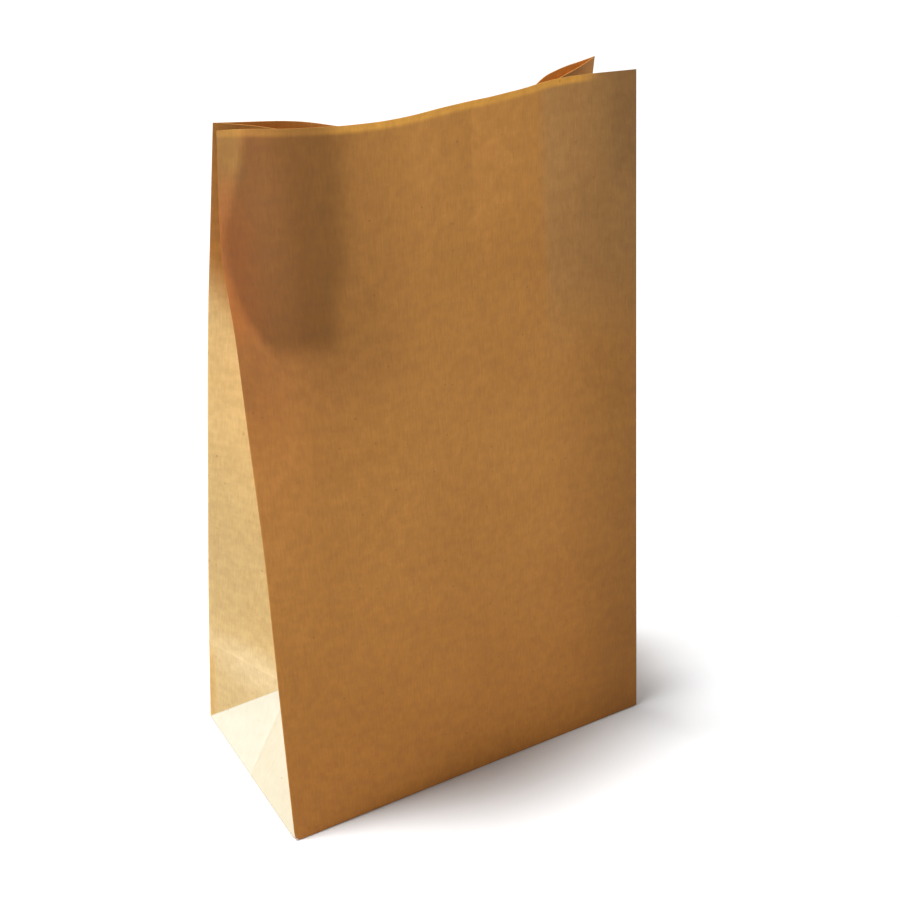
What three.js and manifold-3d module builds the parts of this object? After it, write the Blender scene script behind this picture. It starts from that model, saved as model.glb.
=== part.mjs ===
// Brown paper lunch bag. One sheet of kraft paper is folded and glued into a flat-bottomed
// bag with a gusset down each side, and it stands open on its bottom. Millimetres, +Z up.
// The front panel faces -Y and the origin is the middle of the underside.

import * as THREE from 'three';
import { mergeVertices } from 'three/addons/utils/BufferGeometryUtils.js';
import Module from 'manifold-3d';

// The folded sheet
const bagWidth = 152;
const bagDepth = 80;
const sheetHeight = 255;
const paper = 0.2;

// The lengthwise glued lap in the back panel, as the outer ply's cut edge and the lap's width
const seamFromMiddle = 14;
const seamLap = 13;
const seamRamp = 5;

// How far the two bottom flaps lie over each other
const flapLap = 20;

// The mouth in plan: its middle line and its width, at equal steps from the left to the right
const mouthMiddle = [-4.5, -17, -27, -26, -21.5, -11.5, -10];
const mouthGap = [9, 19, 13.5, 7.5, 8, 15, 27];
const frontMouthShift = -2;
const backMouthShift = 0.5;

// How much of its lean each left-hand fold has taken up, by its share of the height
const frontLeftLean = [[0, 0], [0.25, 0.25], [0.45, 0.44], [0.62, 0.685], [0.74, 0.86], [0.85, 1.08], [1, 1]];
const backLeftLean = [[0, 0], [0.25, 0.19], [0.45, 0.37], [0.62, 0.53], [0.74, 0.66], [0.85, 0.805], [1, 1]];

// Fineness of the facets
const panelStep = 11;
const rowStep = 12;
const gussetSteps = 5;
const edgeSteps = 96;
const climbSteps = 24;
const widestMitre = 1.5;
const roundingSlack = 1e-6;

const paperBrown = new THREE.MeshStandardMaterial({ color: 0xa8763e, roughness: 0.9, metalness: 0 });

// A smooth curve through [place, value] pairs
function smoothThrough(pairs) {
  const last = pairs.length - 1;
  const slopes = pairs.map((pair, i) => {
    const before = pairs[Math.max(i - 1, 0)];
    const after = pairs[Math.min(i + 1, last)];
    return (after[1] - before[1]) / (after[0] - before[0]);
  });
  return (place) => {
    let i = 0;
    while (i < last - 1 && place > pairs[i + 1][0]) i += 1;
    const span = pairs[i + 1][0] - pairs[i][0];
    const u = (place - pairs[i][0]) / span;
    const ease = u * u * (3 - 2 * u);
    const leave = u * (1 - u) * (1 - u) * span * slopes[i];
    const arrive = u * u * (1 - u) * span * slopes[i + 1];
    return pairs[i][1] * (1 - ease) + pairs[i + 1][1] * ease + leave - arrive;
  };
}

function mix(a, b, share) {
  return a.map((value, i) => value + (b[i] - value) * share);
}

function evenly(values) {
  return values.map((value, i) => [i / (values.length - 1), value]);
}

// One panel's top edge in plan. The paper keeps its width, so the ends of a wavy edge draw in.
function mouthEdge(depthAt, shift) {
  const width = bagWidth / edgeSteps;
  const along = [0];
  for (let i = 1; i <= edgeSteps; i += 1) {
    const sideways = depthAt(i / edgeSteps) - depthAt((i - 1) / edgeSteps);
    along.push(along[i - 1] + Math.sqrt(Math.max(width * width - sideways * sideways, 0)));
  }
  return (share) => {
    const place = share * edgeSteps;
    const i = Math.min(Math.floor(place), edgeSteps - 1);
    const reached = along[i] + (along[i + 1] - along[i]) * (place - i);
    return [reached - along[edgeSteps] / 2 + shift, depthAt(share)];
  };
}

const middleAt = smoothThrough(evenly(mouthMiddle));
const gapAt = smoothThrough(evenly(mouthGap));

const frontPanel = {
  foldY: -bagDepth / 2,
  mouth: mouthEdge((share) => middleAt(share) - gapAt(share) / 2, frontMouthShift),
  leftLean: smoothThrough(frontLeftLean),
};
const backPanel = {
  foldY: bagDepth / 2,
  mouth: mouthEdge((share) => middleAt(share) + gapAt(share) / 2, backMouthShift),
  leftLean: smoothThrough(backLeftLean),
};

// Where a panel's strip of paper is in plan, at a share of the width and a length up the sheet.
// The left-hand fold leans by its own curve and the right-hand fold straight.
function panelPlan(panel, share, up) {
  const rise = up / sheetHeight;
  const lean = panel.leftLean(rise) * (1 - share) + rise * share;
  const foot = (share - 0.5) * bagWidth;
  const [mouthX, mouthY] = panel.mouth(share);
  return [foot + (mouthX - foot) * rise, panel.foldY + (mouthY - panel.foldY) * lean];
}

// The height gained along a line that keeps its length while its plan place moves
function climb(planAt, from, to) {
  const step = (to - from) / climbSteps;
  let height = 0;
  for (let i = 0; i < climbSteps; i += 1) {
    const here = planAt(from + i * step);
    const next = planAt(from + (i + 1) * step);
    const sideways = Math.hypot(next[0] - here[0], next[1] - here[1]);
    height += Math.sqrt(Math.max(step * step - sideways * sideways, 0));
  }
  return height;
}

function panelPoint(panel, share, up) {
  const planAt = (length) => panelPlan(panel, share, length);
  return [...planAt(up), climb(planAt, 0, up)];
}

// A gusset folds inwards along its middle crease. Its lowest part is a triangle that stands on
// the bottom's end edge and leans in, and the diagonal folds above it run to the corners.
function makeGusset(isLeft) {
  const half = bagDepth / 2;
  const outward = isLeft ? -1 : 1;
  const foldShare = isLeft ? 0 : 1;
  const endX = outward * bagWidth / 2;

  const creaseInset = (up) => {
    const front = panelPoint(frontPanel, foldShare, up);
    const back = panelPoint(backPanel, foldShare, up);
    const gap = Math.hypot(front[0] - back[0], front[1] - back[1], front[2] - back[2]);
    return Math.sqrt(Math.max(half * half - gap * gap / 4, 0));
  };
  const tiltSine = creaseInset(half) / half;
  const tiltCosine = Math.sqrt(1 - tiltSine * tiltSine);
  const apex = [endX - outward * half * tiltSine, 0, half * tiltCosine];

  // Between the two panels, 0 on the front one and 1 on the back one, at a share of the inset
  const betweenPlan = (up, inward, towardsBack) => {
    const share = foldShare - outward * inward * creaseInset(up) / bagWidth;
    return mix(panelPlan(frontPanel, share, up), panelPlan(backPanel, share, up), towardsBack);
  };
  // The crease starts at the apex and settles into the middle of the two panels on its way up
  const besideApex = betweenPlan(half, 1, 0.5).map((value, i) => apex[i] - value);
  const settledPlan = (up, inward, towardsBack) => {
    const unsettled = inward * (sheetHeight - up) / (sheetHeight - half);
    return betweenPlan(up, inward, towardsBack).map((value, i) => value + besideApex[i] * unsettled);
  };
  const creasePlan = (up) => settledPlan(up, 1, 0.5);

  const tallPoint = (across, up) => {
    const onFront = across <= half;
    const inward = (onFront ? across : bagDepth - across) / half;
    const fold = panelPoint(onFront ? frontPanel : backPanel, foldShare, up);
    const plan = settledPlan(up, inward, onFront ? inward / 2 : 1 - inward / 2);
    const creaseHeight = apex[2] + climb(creasePlan, half, up);
    return [...plan, fold[2] + (creaseHeight - fold[2]) * inward];
  };

  const lowPoint = (across, up) => {
    const fromFold = Math.min(across, bagDepth - across);
    const onTriangle = [endX - outward * up * tiltSine, across - half, up * tiltCosine];
    if (fromFold >= up) return onTriangle;
    const onFront = across <= half;
    const fold = panelPoint(onFront ? frontPanel : backPanel, foldShare, up);
    const diagonalY = onFront ? up - half : half - up;
    return mix(fold, [onTriangle[0], diagonalY, onTriangle[2]], fromFold / up);
  };

  return (across, up) => (up > half ? tallPoint(across, up) : lowPoint(across, up));
}

const leftGusset = makeGusset(true);
const rightGusset = makeGusset(false);

// Steps between the given places, none longer than the longest
function stepsThrough(places, longest) {
  const result = [places[0]];
  for (let i = 1; i < places.length; i += 1) {
    const span = places[i] - places[i - 1];
    const count = Math.max(Math.ceil(span / longest - roundingSlack), 1);
    for (let k = 1; k <= count; k += 1) result.push(places[i - 1] + span * k / count);
  }
  return result;
}

// The columns of the sheet, all the way round from the front left-hand fold. Each has its point
// at a length up the sheet, how far its outer and inner faces stand out from a single ply, and
// whether a diagonal fold rises or falls across the facets that follow it.
function sheetColumns() {
  const cutEdge = bagWidth / 2 + seamFromMiddle;
  const lapEnd = cutEdge + seamLap;
  const rampEnd = lapEnd + paper + seamRamp;
  const outerFace = (x) => {
    if (x <= cutEdge || x >= rampEnd) return 0;
    return x <= lapEnd + paper ? paper : paper * (rampEnd - x) / seamRamp;
  };
  const innerFace = (x) => (x > lapEnd && x < rampEnd ? outerFace(x) : 0);
  const gussetPlaces = stepsThrough([0, bagDepth], bagDepth / (2 * gussetSteps));
  const frontPlaces = stepsThrough([0, bagWidth], panelStep);
  const seamPlaces = [cutEdge, cutEdge + paper, lapEnd, lapEnd + paper, rampEnd];
  const backPlaces = stepsThrough([0, ...seamPlaces, bagWidth], panelStep).toReversed();

  const frontColumns = frontPlaces.map((x) => ({
    point: (up) => panelPoint(frontPanel, x / bagWidth, up),
    outer: 0,
    inner: 0,
    rises: true,
  }));
  const backColumns = backPlaces.map((x) => ({
    point: (up) => panelPoint(backPanel, x / bagWidth, up),
    outer: outerFace(x),
    inner: innerFace(x),
    rises: true,
  }));
  const gussetColumns = (gusset, places) => places.slice(1, -1).map((across, i) => ({
    point: (up) => gusset(across, up),
    outer: 0,
    inner: 0,
    rises: i + 1 < gussetSteps,
  }));
  return [
    ...frontColumns,
    ...gussetColumns(rightGusset, gussetPlaces),
    ...backColumns,
    ...gussetColumns(leftGusset, gussetPlaces.toReversed()),
  ];
}

// The lengths up the sheet where the rows of facets lie, with one row through each fold crossing
function sheetRows() {
  const gussetRow = bagDepth / (2 * gussetSteps);
  const low = stepsThrough([0, bagDepth / 2], gussetRow);
  const tall = stepsThrough([bagDepth / 2, sheetHeight], rowStep);
  return [...low, ...tall.slice(1)];
}

// Triangles between two rings of points, split along the way the diagonal folds run
function bandTriangles(below, above, columns) {
  const faces = [];
  for (let i = 0; i < columns.length; i += 1) {
    const j = (i + 1) % columns.length;
    if (columns[i].rises) {
      faces.push([below + i, below + j, above + j], [below + i, above + j, above + i]);
    } else {
      faces.push([below + i, below + j, above + i], [below + j, above + j, above + i]);
    }
  }
  return faces;
}

// The outward direction at each point of the rings, halfway between the facets before it and the
// facets after it, and lengthened so that a wall offset along it keeps its thickness at a fold
function outwardAt(rings) {
  const count = rings[0].length;
  const corner = (r, i) => new THREE.Vector3(...rings[r][(i + count) % count]);
  const cellNormal = (r, i) => {
    const rising = corner(r + 1, i + 1).sub(corner(r, i));
    const falling = corner(r + 1, i).sub(corner(r, i + 1));
    return rising.cross(falling).normalize();
  };
  const sideNormal = (r, i) => {
    const sum = new THREE.Vector3();
    if (r > 0) sum.add(cellNormal(r - 1, i));
    if (r + 1 < rings.length) sum.add(cellNormal(r, i));
    return sum.normalize();
  };
  return rings.map((ring, r) => ring.map((point, i) => {
    const before = sideNormal(r, i - 1);
    const direction = before.clone().add(sideNormal(r, i)).normalize();
    const reach = 1 / Math.max(direction.dot(before), 1 / widestMitre);
    return direction.multiplyScalar(reach).toArray();
  }));
}

function moved(point, direction, distance) {
  return point.map((value, axis) => value + direction[axis] * distance);
}

// The folded sheet with its thickness, open at the mouth and closed by a single ply below
function foldedSheet(bottom) {
  const columns = sheetColumns();
  const rows = sheetRows();
  const count = columns.length;
  const ringAt = (up) => columns.map((column) => column.point(up));
  const sheet = rows.map(ringAt);
  const outward = outwardAt(sheet);
  const foot = ringAt(paper);
  const outer = sheet.map((ring, r) => ring.map((point, i) => moved(point, outward[r][i], columns[i].outer)));
  const inner = [foot, ...sheet.slice(1)].map((ring, r) => (
    ring.map((point, i) => moved(point, outward[r][i], columns[i].inner - paper))
  ));
  outer[0] = outer[0].map(([x, y]) => [x, y, 0]);
  inner[0] = inner[0].map(([x, y]) => [x, y, paper]);

  const faces = [];
  for (let r = 0; r + 1 < rows.length; r += 1) {
    faces.push(...bandTriangles(r * count, (r + 1) * count, columns));
  }
  const middle = rows.length * count;
  for (let i = 0; i < count; i += 1) faces.push([middle, (i + 1) % count, i]);

  const shift = middle + 1;
  const points = [...outer.flat(), [0, 0, 0], ...inner.flat(), [0, 0, paper]];
  const insideFaces = faces.map(([a, b, c]) => [a + shift, c + shift, b + shift]);
  const rimBelow = (rows.length - 1) * count;
  const rim = bandTriangles(rimBelow, rimBelow + shift, columns);
  return { points: points.map(([x, y, z]) => [x, y, z + bottom]), faces: [...faces, ...insideFaces, ...rim] };
}

// A bottom flap: its long edge is the panel's own fold, its ends run in at 45 degrees from the
// corners, and its cut edge lies past the middle line
function bottomFlap(foldSide, bottom, top) {
  const half = bagWidth / 2;
  const reach = bagDepth / 2 + flapLap / 2;
  const foldY = foldSide * bagDepth / 2;
  const cutY = foldY - foldSide * reach;
  const corners = [[-half, foldY], [half, foldY], [half - reach, cutY], [-half + reach, cutY]];
  const outline = new THREE.Shape(corners.map(([x, y]) => new THREE.Vector2(x, y)));
  const flap = new THREE.ExtrudeGeometry(outline, { depth: top - bottom, bevelEnabled: false });
  return flap.translate(0, 0, bottom);
}

const manifold = await Module();
manifold.setup();

function solidOf(geometry) {
  const bare = geometry.clone().deleteAttribute('normal').deleteAttribute('uv');
  const merged = mergeVertices(bare);
  return new manifold.Manifold(new manifold.Mesh({
    numProp: 3,
    vertProperties: new Float32Array(merged.attributes.position.array),
    triVerts: new Uint32Array(merged.index.array),
  }));
}

function geometryOf({ points, faces }) {
  const geometry = new THREE.BufferGeometry();
  geometry.setAttribute('position', new THREE.Float32BufferAttribute(points.flat(), 3));
  geometry.setIndex(faces.flat());
  return geometry;
}

function geometryOfSolid(solid) {
  const mesh = solid.getMesh();
  const geometry = new THREE.BufferGeometry();
  geometry.setAttribute('position', new THREE.BufferAttribute(new Float32Array(mesh.vertProperties), 3));
  geometry.setIndex(new THREE.BufferAttribute(new Uint32Array(mesh.triVerts), 1));
  geometry.computeVertexNormals();
  return geometry;
}

// The back panel's flap is folded under first and the front panel's flap is glued over it, so the
// bag stands on the front one. Each runs half a ply into what it is glued to.
function paperBag() {
  const bite = paper / 2;
  const sheet = solidOf(geometryOf(foldedSheet(2 * paper)));
  const backFlap = solidOf(bottomFlap(1, paper, 2 * paper + bite));
  const frontFlap = solidOf(bottomFlap(-1, 0, 2 * paper + bite));
  return geometryOfSolid(sheet.add(backFlap).add(frontFlap));
}

const bag = new THREE.Mesh(paperBag(), paperBrown);
bag.name = 'paper_bag';

const group = new THREE.Group();
group.add(bag);

export default group;
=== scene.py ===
"""Brown paper lunch bag: the folded kraft sheet, and the stage that it stands on.

One sheet of kraft paper is folded and glued into a flat-bottomed bag with a gusset down each
side, and it stands open. Metres, +Z up, and the front panel faces -Y.
"""

import math
from typing import Callable, NamedTuple

import bpy
import numpy as np
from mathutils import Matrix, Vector


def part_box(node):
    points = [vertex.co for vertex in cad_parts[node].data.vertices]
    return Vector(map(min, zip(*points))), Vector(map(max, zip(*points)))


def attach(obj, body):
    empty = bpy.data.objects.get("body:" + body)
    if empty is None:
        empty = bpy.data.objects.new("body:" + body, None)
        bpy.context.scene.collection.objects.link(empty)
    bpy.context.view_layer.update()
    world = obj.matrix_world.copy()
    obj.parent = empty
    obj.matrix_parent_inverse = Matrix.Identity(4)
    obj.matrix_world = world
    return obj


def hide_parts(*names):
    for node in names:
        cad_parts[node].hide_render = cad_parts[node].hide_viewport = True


bl_info = {
    "name": "Paper Lunch Bag",
    "version": (1, 0, 0),
    "blender": (4, 5, 0),
    "location": "3D View > Sidebar > Paper Bag",
    "description": "Folds a flat-bottomed kraft paper bag and sets a plain stage for it",
    "category": "Add Mesh",
}

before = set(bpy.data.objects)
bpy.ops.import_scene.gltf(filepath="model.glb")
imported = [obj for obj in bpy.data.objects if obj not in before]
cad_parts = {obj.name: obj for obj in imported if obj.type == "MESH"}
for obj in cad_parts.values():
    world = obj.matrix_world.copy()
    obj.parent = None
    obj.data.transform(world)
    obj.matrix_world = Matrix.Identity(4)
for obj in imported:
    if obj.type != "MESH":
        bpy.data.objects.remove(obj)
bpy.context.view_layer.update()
BAG_LOW, BAG_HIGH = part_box("paper_bag")

# The mouth in plan: its middle line and its width, at equal steps from the left to the right
MOUTH_MIDDLE = (-0.0045, -0.017, -0.027, -0.026, -0.0215, -0.0115, -0.010)
MOUTH_GAP = (0.009, 0.019, 0.0135, 0.0075, 0.008, 0.015, 0.027)
FRONT_MOUTH_SHIFT = -0.002
BACK_MOUTH_SHIFT = 0.0005

# How much of its lean each left-hand fold has taken up, by its share of the height
FRONT_LEFT_LEAN = (
    (0, 0), (0.25, 0.25), (0.45, 0.44), (0.62, 0.685), (0.74, 0.86), (0.85, 1.08), (1, 1),
)
BACK_LEFT_LEAN = (
    (0, 0), (0.25, 0.19), (0.45, 0.37), (0.62, 0.53), (0.74, 0.66), (0.85, 0.805), (1, 1),
)

# The left gusset's plies behind the front panel, where the front is painted darker as the shade of
# less light coming through it: the field's left-hand border by the length up the sheet, and the
# height of its foot
PLIES_LEFT = (
    (0.180, 0.015), (0.187, 0.0095), (0.201, 0.0025),
    (0.222, 0.0006), (0.228, 0.0025), (0.255, 0.009),
)
PLIES_FOOT = 0.1835

# Fineness of the mesh and of the sums behind it
PANEL_STEP = 0.0024
GUSSET_STEP = 0.002
ROW_STEP = 0.0024
LIP_STEP = 0.001
LIP_DEPTH = 0.005
EDGE_STEPS = 96
CLIMB_STEPS = 240
STEP_SLACK = 1e-6
BEND_STEPS = 2
WIDEST_MITRE = 1.5
TINY = 1e-9
FLOOR_SHARES = (0.15, 0.4, 0.7)
FOLD_CREASE_ANGLE = math.radians(35)

# The paper beside a corner fold is pressed to a share of the room between the two plies
PRESS_REACH = 0.012
PRESS_SHARE = 0.3

# The cockles keep off the folds and grow up to their full height beside them
FLAT_MARGIN = 0.002
FLAT_REACH = 0.012

# The centre crease of an end triangle dies out over this many crease widths
CREASE_FADE = 4

# The top of the glued flaps, in plies: halfway into the sheet's own floor
FLAP_TOP = 2.5


def length(name, description, default, **limits):
    """A length that the user can set, in the scene's units."""
    return bpy.props.FloatProperty(
        name=name, description=description, default=default, unit="LENGTH", precision=4, **limits
    )


def colour(name, description, default):
    """A colour that the user can set."""
    return bpy.props.FloatVectorProperty(
        name=name, description=description, default=default, subtype="COLOR", min=0, max=1
    )


def number(name, description, default, **limits):
    """A plain number that the user can set."""
    return bpy.props.FloatProperty(name=name, description=description, default=default, **limits)


def angle(name, description, degrees):
    """An angle that the user can set."""
    return bpy.props.FloatProperty(
        name=name, description=description, default=math.radians(degrees), subtype="ANGLE"
    )


class BagSizes(bpy.types.PropertyGroup):
    """The sizes of the folded sheet and of its relief."""

    width: length("Width", "Across the front panel", BAG_HIGH.x - BAG_LOW.x, min=0.05)
    depth: length("Depth", "From the front fold to the back one", -2 * BAG_LOW.y, min=0.03)
    sheet_height: length("Sheet height", "From the base fold up to the cut edge", 0.255, min=0.1)
    paper: length("Paper", "Thickness of one ply", 0.0002, min=0.00005)
    fold_radius: length(
        "Fold radius", "How far each side of a fold the paper bends", 0.0007, min=0.0002
    )
    seam_from_middle: length(
        "Seam place", "From the back's middle to the cut edge of the lap", 0.014
    )
    seam_lap: length("Seam lap", "Width of the glued lap", 0.013)
    seam_ramp: length("Seam ramp", "Where the paper comes down beside the lap", 0.005)
    flap_lap: length("Flap lap", "How far the two bottom flaps lie over each other", 0.020)
    cockle_height: length("Cockle height", "Height of the sheet's soft unevenness", 0.0003)
    cockle_size: length("Cockle size", "From one cockle to the next", 0.034)
    buckle_height: length("Buckle height", "Height of the upright buckles below the mouth", 0.0006)
    buckle_width: length("Buckle width", "From one buckle to the next", 0.016)
    buckle_reach: length("Buckle reach", "How far down from the mouth the buckles run", 0.110)
    crease_height: length(
        "Crease height", "How far a fine crease of the packing folds stands out", 0.00013
    )
    crease_width: length("Crease width", "From a fine crease to the flat paper beside it", 0.0026)
    corner_wear: length(
        "Corner wear", "How far the front left-hand base corner is pushed in", 0.0012
    )
    corner_reach: length("Corner reach", "How far from the corner its wear runs", 0.0038)
    seed: bpy.props.IntProperty(
        name="Seed", description="Picks another pattern of cockles", default=4
    )


class KraftColours(bpy.types.PropertyGroup):
    """The colours of the kraft paper, and the painted light and shade on it."""

    kraft: colour("Kraft", "Front, back and inside of the sheet", (0.475, 0.206, 0.046))
    # Painted light: the left gusset's outer face is paler where the lamp at the left falls on it
    lit_kraft: colour("Lit kraft", "The left gusset's outer face", (0.57, 0.39, 0.165))
    # Painted light: the end triangle is cream as it faces up into the light, and its half beside
    # the front is painted a little shaded (peach)
    lit_cream: colour("Cream", "The left gusset's end triangle", (0.478, 0.452, 0.362))
    shaded_cream: colour("Peach", "The end triangle's half beside the front", (0.472, 0.425, 0.318))
    # Painted light: the single ply at the front's cut edge glows orange where light comes through
    # it
    backlit_lip: colour("Lip", "The single ply along the front's cut edge", (0.72, 0.34, 0.06))
    glow: colour(
        "Glow", "The inside below the mouth, where light comes through", (0.92, 0.49, 0.145)
    )
    shive: colour("Shive", "Dark specks of bark in the paper", (0.14, 0.06, 0.02))


class StageSettings(bpy.types.PropertyGroup):
    """The floor, the lamps and the camera."""

    floor: colour("Floor", "The floor's colour", (0.848, 0.86, 0.868))
    sun_light: number("Overhead light", "Strength of the even light from overhead", 3.1)
    sun_softness: angle("Overhead softness", "How wide the overhead light looks from the bag", 11)
    side_light: number("Side light", "Power of the lamp at the left, in watts", 8.5)
    front_light: number("Front light", "Power of the lamp in front, in watts", 1.6)
    room_light: number("Room light", "Strength of the even light from all round", 0.24)
    azimuth: angle("Azimuth", "The camera's direction round the bag, from the front", -30.27)
    elevation: angle("Elevation", "The camera's height above the horizon", 29.46)
    distance: length("Distance", "From the camera to the point that it looks at", 0.5397)
    lens: number("Lens", "Focal length in millimetres, for a sensor 36 mm wide", 58.93)


def smooth_through(pairs):
    """A smooth curve through (place, value) pairs."""
    places, values = np.array(pairs, float).T
    last = len(places) - 1
    before = np.maximum(np.arange(last + 1) - 1, 0)
    after = np.minimum(np.arange(last + 1) + 1, last)
    slopes = (values[after] - values[before]) / (places[after] - places[before])

    def value_at(place):
        i = np.clip(np.searchsorted(places, place) - 1, 0, last - 1)
        span = places[i + 1] - places[i]
        u = (place - places[i]) / span
        ease = u * u * (3 - 2 * u)
        leave = u * (1 - u) ** 2 * span * slopes[i]
        arrive = u * u * (1 - u) * span * slopes[i + 1]
        return values[i] * (1 - ease) + values[i + 1] * ease + leave - arrive

    return value_at


def evenly(values):
    """Pairs of the values with equal steps from 0 to 1."""
    return [(i / (len(values) - 1), value) for i, value in enumerate(values)]


def mouth_edge(width, depth_at, shift):
    """One panel's top edge in plan. The paper keeps its width, so a wavy edge draws in."""
    shares = np.linspace(0, 1, EDGE_STEPS + 1)
    ahead = np.sqrt(np.maximum((width / EDGE_STEPS) ** 2 - np.diff(depth_at(shares)) ** 2, 0))
    along = np.concatenate([[0], np.cumsum(ahead)])
    return lambda share: (np.interp(share, shares, along) - along[-1] / 2 + shift, depth_at(share))


def steps_through(places, longest):
    """Steps between the given places, none longer than the longest."""
    result = [places[0]]
    for start, end in zip(places, places[1:]):
        count = max(math.ceil((end - start) / longest - STEP_SLACK), 1)
        result += [start + (end - start) * (k + 1) / count for k in range(count)]
    return result


def unit(vectors):
    """The vectors at length 1."""
    return vectors / np.maximum(np.linalg.norm(vectors, axis=-1, keepdims=True), TINY)


class Panel(NamedTuple):
    """A wide panel: its base fold, its top edge in plan and the lean of its left-hand fold."""

    fold_y: float
    mouth: Callable
    left_lean: Callable


class Column(NamedTuple):
    """A line of points up the sheet, with how far its two faces stand out from a single ply."""

    around: float
    points: np.ndarray
    outer: float = 0.0
    inner: float = 0.0
    from_fold: float = -1.0
    rises: bool = True


class FoldedSheet:
    """Where each point of the folded paper lies, by its place on the sheet."""

    def __init__(self, sizes):
        self.width = sizes.width
        self.depth = sizes.depth
        self.height = sizes.sheet_height
        self.half = sizes.depth / 2
        middle = smooth_through(evenly(MOUTH_MIDDLE))
        gap = smooth_through(evenly(MOUTH_GAP))
        self.front = Panel(
            -self.half,
            mouth_edge(self.width, lambda at: middle(at) - gap(at) / 2, FRONT_MOUTH_SHIFT),
            smooth_through(FRONT_LEFT_LEAN),
        )
        self.back = Panel(
            self.half,
            mouth_edge(self.width, lambda at: middle(at) + gap(at) / 2, BACK_MOUTH_SHIFT),
            smooth_through(BACK_LEFT_LEAN),
        )

    def panel_plan(self, panel, share, up):
        """A panel's place in plan, at a share of its width and a length up the sheet."""
        rise = up / self.height
        lean = panel.left_lean(rise) * (1 - share) + rise * share
        foot = (share - 0.5) * self.width
        mouth_x, mouth_y = panel.mouth(share)
        x = foot + (mouth_x - foot) * rise
        y = panel.fold_y + (mouth_y - panel.fold_y) * lean
        return np.stack([x, y], axis=-1)

    def climb(self, plan_at, start, ups):
        """The height gained from the start along a line that keeps its length as it leans."""
        rungs = np.linspace(start, self.height, CLIMB_STEPS + 1)
        sideways = np.linalg.norm(np.diff(plan_at(rungs), axis=0), axis=1)
        step = (self.height - start) / CLIMB_STEPS
        gained = np.concatenate([[0], np.cumsum(np.sqrt(np.maximum(step**2 - sideways**2, 0)))])
        return np.interp(ups, rungs, gained)

    def panel_line(self, panel, share, ups):
        """The points up a panel at one share of its width."""
        height = self.climb(lambda up: self.panel_plan(panel, share, up), 0, ups)
        return np.column_stack([self.panel_plan(panel, share, ups), height])


class Gusset:
    """A gusset, folded inwards along its middle crease above a triangle at its foot."""

    def __init__(self, sheet, is_left):
        self.sheet = sheet
        self.half = sheet.half
        self.outward = -1 if is_left else 1
        self.fold_share = 0.0 if is_left else 1.0
        self.end_x = self.outward * sheet.width / 2
        sine = self.crease_inset(np.array([self.half]))[0] / self.half
        self.tilt = np.array([sine, math.sqrt(1 - sine * sine)])
        self.apex = np.array([self.end_x - self.outward * self.half * sine, 0])
        self.apex_height = self.half * self.tilt[1]
        self.beside_apex = self.apex - self.between_plan(np.array([self.half]), 1, 0.5)[0]

    def crease_inset(self, up):
        """How far in from the folds the middle crease lies."""
        front = self.sheet.panel_line(self.sheet.front, self.fold_share, up)
        back = self.sheet.panel_line(self.sheet.back, self.fold_share, up)
        gap = np.linalg.norm(front - back, axis=1)
        return np.sqrt(np.maximum(self.half**2 - gap**2 / 4, 0))

    def between_plan(self, up, inward, towards_back):
        """Between the two panels, 0 on the front one and 1 on the back one."""
        share = self.fold_share - self.outward * inward * self.crease_inset(up) / self.sheet.width
        front = self.sheet.panel_plan(self.sheet.front, share, up)
        back = self.sheet.panel_plan(self.sheet.back, share, up)
        return front + (back - front) * towards_back

    def settled_plan(self, up, inward, towards_back):
        """The same, with the crease still on its way from the triangle's apex."""
        unsettled = inward * (self.sheet.height - up) / (self.sheet.height - self.half)
        return self.between_plan(up, inward, towards_back) + np.outer(unsettled, self.beside_apex)

    def line(self, across, ups):
        """The points up the gusset, at one distance across it from its front fold."""
        on_front = across <= self.half
        from_fold = min(across, 2 * self.half - across)
        panel = self.sheet.front if on_front else self.sheet.back
        fold = self.sheet.panel_line(panel, self.fold_share, ups)

        inward = from_fold / self.half
        plan = self.settled_plan(ups, inward, inward / 2 if on_front else 1 - inward / 2)
        climbed = self.sheet.climb(lambda up: self.settled_plan(up, 1, 0.5), self.half, ups)
        crease_height = self.apex_height + climbed
        tall = np.column_stack([plan, fold[:, 2] + (crease_height - fold[:, 2]) * inward])

        triangle_x = self.end_x - self.outward * ups * self.tilt[0]
        triangle_z = ups * self.tilt[1]
        triangle_y = np.full_like(ups, across - self.half)
        on_triangle = np.column_stack([triangle_x, triangle_y, triangle_z])
        diagonal_y = ups - self.half if on_front else self.half - ups
        diagonal = np.column_stack([triangle_x, diagonal_y, triangle_z])
        towards = (from_fold / np.maximum(ups, TINY))[:, None]
        low = np.where(towards >= 1, on_triangle, fold + (diagonal - fold) * towards)
        return np.where((ups > self.half)[:, None], tall, low)


def fold_places(width, depth):
    """How far round the sheet each upright fold is, from the front left-hand one."""
    return (0, width, width + depth / 2, width + depth, 2 * width + depth, 2 * width + 1.5 * depth)


def corner_folds(width, depth):
    """How far round the sheet the four corner folds are."""
    return (0, width, width + depth, 2 * width + depth)


def softened(start, end, radius):
    """Two folds, and the places beside them where the bend starts and is half way."""
    return [start, start + radius / 2, start + radius, end - radius, end - radius / 2, end]


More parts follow.
